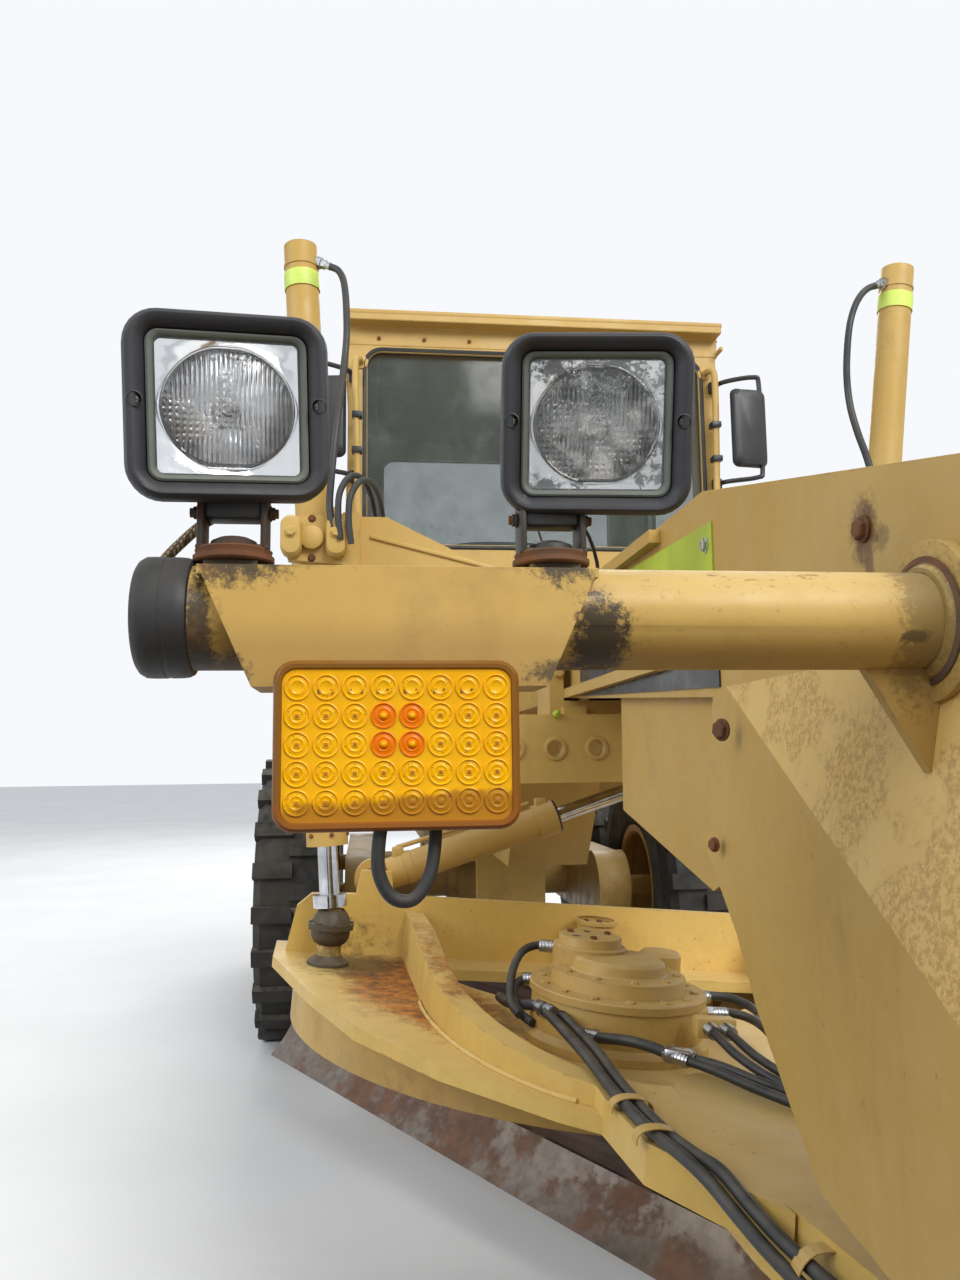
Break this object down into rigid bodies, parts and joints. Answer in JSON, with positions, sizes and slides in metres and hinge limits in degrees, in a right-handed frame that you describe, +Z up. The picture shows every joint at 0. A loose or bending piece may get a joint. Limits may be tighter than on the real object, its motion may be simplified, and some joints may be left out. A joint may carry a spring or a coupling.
{
  "type": "motor grader",
  "caption": "Yellow articulated motor grader with a glazed cab, lamp bars with work lamps on its front frame, a turned blade under a circle, and tandem rear wheels.",
  "frame": {"origin": "on the ground under the middle of the outline", "axes": "+Y to the rear, +X to the machine's left, +Z up"},
  "size_m": [2.46, 9.28, 3.269],
  "materials": {
    "yellow_paint": "satin, dusty and chipped",
    "tyre_rubber": "matte, dusty",
    "black_plastic": "matte",
    "dark_plastic": "matte",
    "amber_lens": "glossy, dirty",
    "window_glass": "clear, dusty",
    "seat_fabric": "woven",
    "cylinder_chrome": "polished, oily",
    "worn_steel": "worn paint with rust",
    "bare_steel": "worn bright",
    "engine_iron": "cast",
    "dark_painted_metal": "grimy"
  },
  "bodies": {
    "front": {"front_frame": "yellow_paint", "light_bars": "yellow_paint", "work_lamps": "black_plastic", "marker_lamps": "amber_lens", "saddle": "yellow_paint", "cab_frame": "yellow_paint", "cab_roof": "yellow_paint", "cab_glass": "window_glass", "seat": "seat_fabric", "console": "dark_plastic", "mirrors": "black_plastic", "grab_rails": "yellow_paint", "front_axle": "yellow_paint"},
    "door_left": {"door_left": "yellow_paint", "door_glass_left": "window_glass"},
    "door_right": {"door_right": "yellow_paint", "door_glass_right": "window_glass"},
    "knuckle_left": {"knuckle_left": "dark_painted_metal"},
    "knuckle_right": {"knuckle_right": "dark_painted_metal"},
    "tie_rod": {"tie_rod": "bare_steel"},
    "rear": {"rear_frame": "yellow_paint", "engine": "engine_iron", "hood": "yellow_paint", "exhaust": "bare_steel", "rear_axle": "yellow_paint", "rear_lamps": "black_plastic"},
    "drawbar": {"drawbar": "yellow_paint", "circle_drive": "dark_painted_metal"},
    "circle": {"blade_circle": "worn_steel"},
    "tilt": {"tilt_brackets": "yellow_paint"},
    "blade": {"moldboard": "worn_steel", "cutting_edge": "bare_steel"},
    "shift_rod": {"shift_rod": "cylinder_chrome"},
    "shift_barrel": {"shift_barrel": "yellow_paint"},
    "tip_barrel": {"tip_barrel": "yellow_paint"},
    "tip_rod": {"tip_rod": "cylinder_chrome"},
    "wheel_front_left": {"rim_front_left": "yellow_paint", "tyre_front_left": "tyre_rubber"},
    "wheel_front_right": {"rim_front_right": "yellow_paint", "tyre_front_right": "tyre_rubber"},
    "wheel_middle_left": {"rim_middle_left": "yellow_paint", "tyre_middle_left": "tyre_rubber"},
    "wheel_middle_right": {"rim_middle_right": "yellow_paint", "tyre_middle_right": "tyre_rubber"},
    "wheel_rear_left": {"rim_rear_left": "yellow_paint", "tyre_rear_left": "tyre_rubber"},
    "wheel_rear_right": {"rim_rear_right": "yellow_paint", "tyre_rear_right": "tyre_rubber"},
    "lift_barrel_left": {"lift_barrel_left": "yellow_paint"},
    "lift_rod_left": {"lift_rod_left": "cylinder_chrome"},
    "artic_barrel_left": {"artic_barrel_left": "yellow_paint"},
    "artic_rod_left": {"artic_rod_left": "cylinder_chrome"},
    "lift_barrel_right": {"lift_barrel_right": "yellow_paint"},
    "lift_rod_right": {"lift_rod_right": "cylinder_chrome"},
    "artic_barrel_right": {"artic_barrel_right": "yellow_paint"},
    "artic_rod_right": {"artic_rod_right": "cylinder_chrome"}
  },
  "joints": [
    {"name": "steer_left", "type": "hinge", "parent": "front", "child": "knuckle_left", "pos_m": [0.79, -3.78, 0.745], "axis": [0, 0, 1], "range_deg": [-40, 40]},
    {"name": "steer_right", "type": "hinge", "parent": "front", "child": "knuckle_right", "pos_m": [-0.79, -3.78, 0.745], "axis": [0, 0, 1], "range_deg": [-40, 40]},
    {"name": "tie_rod_slide", "type": "slide", "parent": "front", "child": "tie_rod", "axis": [-1, 0, 0], "range_m": [-0.19, 0.19]},
    {"name": "wheel_front_left_spin", "type": "hinge", "parent": "knuckle_left", "child": "wheel_front_left", "pos_m": [1.04, -3.78, 0.745], "axis": [1, 0, 0], "continuous": true},
    {"name": "wheel_middle_left_spin", "type": "hinge", "parent": "rear", "child": "wheel_middle_left", "pos_m": [1.04, 1.85, 0.745], "axis": [1, 0, 0], "continuous": true},
    {"name": "wheel_rear_left_spin", "type": "hinge", "parent": "rear", "child": "wheel_rear_left", "pos_m": [1.04, 3.49, 0.745], "axis": [1, 0, 0], "continuous": true},
    {"name": "wheel_front_right_spin", "type": "hinge", "parent": "knuckle_right", "child": "wheel_front_right", "pos_m": [-1.04, -3.78, 0.745], "axis": [1, 0, 0], "continuous": true},
    {"name": "wheel_middle_right_spin", "type": "hinge", "parent": "rear", "child": "wheel_middle_right", "pos_m": [-1.04, 1.85, 0.745], "axis": [1, 0, 0], "continuous": true},
    {"name": "wheel_rear_right_spin", "type": "hinge", "parent": "rear", "child": "wheel_rear_right", "pos_m": [-1.04, 3.49, 0.745], "axis": [1, 0, 0], "continuous": true},
    {"name": "articulation", "type": "hinge", "parent": "front", "child": "rear", "pos_m": [0, 1.22, 1.05], "axis": [0, 0, -1], "range_deg": [-20, 20]},
    {"name": "drawbar_lift", "type": "hinge", "parent": "front", "child": "drawbar", "pos_m": [0, -3.18, 0.905], "axis": [1, 0, 0], "range_deg": [-3, 3.5]},
    {"name": "circle_turn", "type": "hinge", "parent": "drawbar", "child": "circle", "pos_m": [-0.07557, -1.1317, 0.94064], "axis": [0.0877, -0.0141, 0.996], "continuous": true},
    {"name": "blade_tilt", "type": "hinge", "parent": "circle", "child": "tilt", "pos_m": [0.23464, -0.87601, 0.31455], "axis": [0.5588, -0.8271, -0.0609], "range_deg": [-2, 20]},
    {"name": "blade_side_shift", "type": "slide", "parent": "tilt", "child": "blade", "axis": [-0.5588, 0.8271, 0.0609], "range_m": [-0.5, 0.3]},
    {"name": "lift_swing_left", "type": "hinge", "parent": "front", "child": "lift_barrel_left", "pos_m": [0.76, -1.2, 2.04], "axis": [0, 1, 0], "range_deg": [-0.68, 0.8]},
    {"name": "lift_rod_slide_left", "type": "slide", "parent": "lift_barrel_left", "child": "lift_rod_left", "axis": [-0.1183, 0.022, -0.9927], "range_m": [-0.12395, 0.10659]},
    {"name": "lift_swing_right", "type": "hinge", "parent": "front", "child": "lift_barrel_right", "pos_m": [-0.815, -1.2, 2.04], "axis": [0, 1, 0], "range_deg": [-0.3976, 0.3421]},
    {"name": "lift_rod_slide_right", "type": "slide", "parent": "lift_barrel_right", "child": "lift_rod_right", "axis": [0.0534, -0.0304, -0.9981], "range_m": [-0.12078, 0.10386]},
    {"name": "shift_swing", "type": "hinge", "parent": "front", "child": "shift_rod", "pos_m": [0.11, -1.01, 1.4], "axis": [0, 1, 0], "range_deg": [-7.98, 9.28]},
    {"name": "shift_slide", "type": "slide", "parent": "shift_rod", "child": "shift_barrel", "axis": [-0.9535, 0, -0.3015], "range_m": [-0.03832, 0.03296]},
    {"name": "tip_swing", "type": "hinge", "parent": "circle", "child": "tip_barrel", "pos_m": [0.44248, -0.76357, 0.6944], "axis": [0.5588, -0.8271, -0.0609], "range_deg": [-7.61, 0.9]},
    {"name": "tip_slide", "type": "slide", "parent": "tip_barrel", "child": "tip_rod", "axis": [-0.7267, -0.4529, -0.5165], "range_m": [-0.00946, 0.08043]},
    {"name": "artic_swing_left", "type": "hinge", "parent": "front", "child": "artic_barrel_left", "pos_m": [0.32, 0.78, 1.24], "axis": [0, 0, 1], "range_deg": [-10.86, 10.86]},
    {"name": "artic_slide_left", "type": "slide", "parent": "artic_barrel_left", "child": "artic_rod_left", "axis": [-0.0312, 0.9995, 0], "range_m": [-0.10863, 0.10863]},
    {"name": "artic_swing_right", "type": "hinge", "parent": "front", "child": "artic_barrel_right", "pos_m": [-0.32, 0.78, 1.24], "axis": [0, 0, 1], "range_deg": [-10.86, 10.86]},
    {"name": "artic_slide_right", "type": "slide", "parent": "artic_barrel_right", "child": "artic_rod_right", "axis": [0.0312, 0.9995, 0], "range_m": [-0.10863, 0.10863]},
    {"name": "door_left_swing", "type": "hinge", "parent": "front", "child": "door_left", "pos_m": [0.766, 0.92, 2.2], "axis": [0, 0, 1], "range_deg": [0, 90]},
    {"name": "door_right_swing", "type": "hinge", "parent": "front", "child": "door_right", "pos_m": [-0.766, 0.92, 2.2], "axis": [0, 0, -1], "range_deg": [0, 90]}
  ],
  "couplings": [
    {"joint": "steer_right", "follows": "steer_left", "ratio": 1},
    {"joint": "tie_rod_slide", "follows": "steer_left", "m_per_rad": 0.23},
    {"joint": "lift_swing_left", "follows": "drawbar_lift", "ratio": 0.22306},
    {"joint": "lift_rod_slide_left", "follows": "drawbar_lift", "m_per_rad": -1.9893},
    {"joint": "lift_swing_right", "follows": "drawbar_lift", "ratio": -0.11141},
    {"joint": "lift_rod_slide_right", "follows": "drawbar_lift", "m_per_rad": -1.9384},
    {"joint": "shift_swing", "follows": "drawbar_lift", "ratio": 2.5996},
    {"joint": "shift_slide", "follows": "drawbar_lift", "m_per_rad": -0.61508},
    {"joint": "tip_swing", "follows": "blade_tilt", "ratio": -0.3729},
    {"joint": "tip_slide", "follows": "blade_tilt", "m_per_rad": 0.22589},
    {"joint": "artic_swing_left", "follows": "articulation", "ratio": -0.53217},
    {"joint": "artic_slide_left", "follows": "articulation", "m_per_rad": -0.30511},
    {"joint": "artic_swing_right", "follows": "articulation", "ratio": -0.53217},
    {"joint": "artic_slide_right", "follows": "articulation", "m_per_rad": 0.30511}
  ]
}
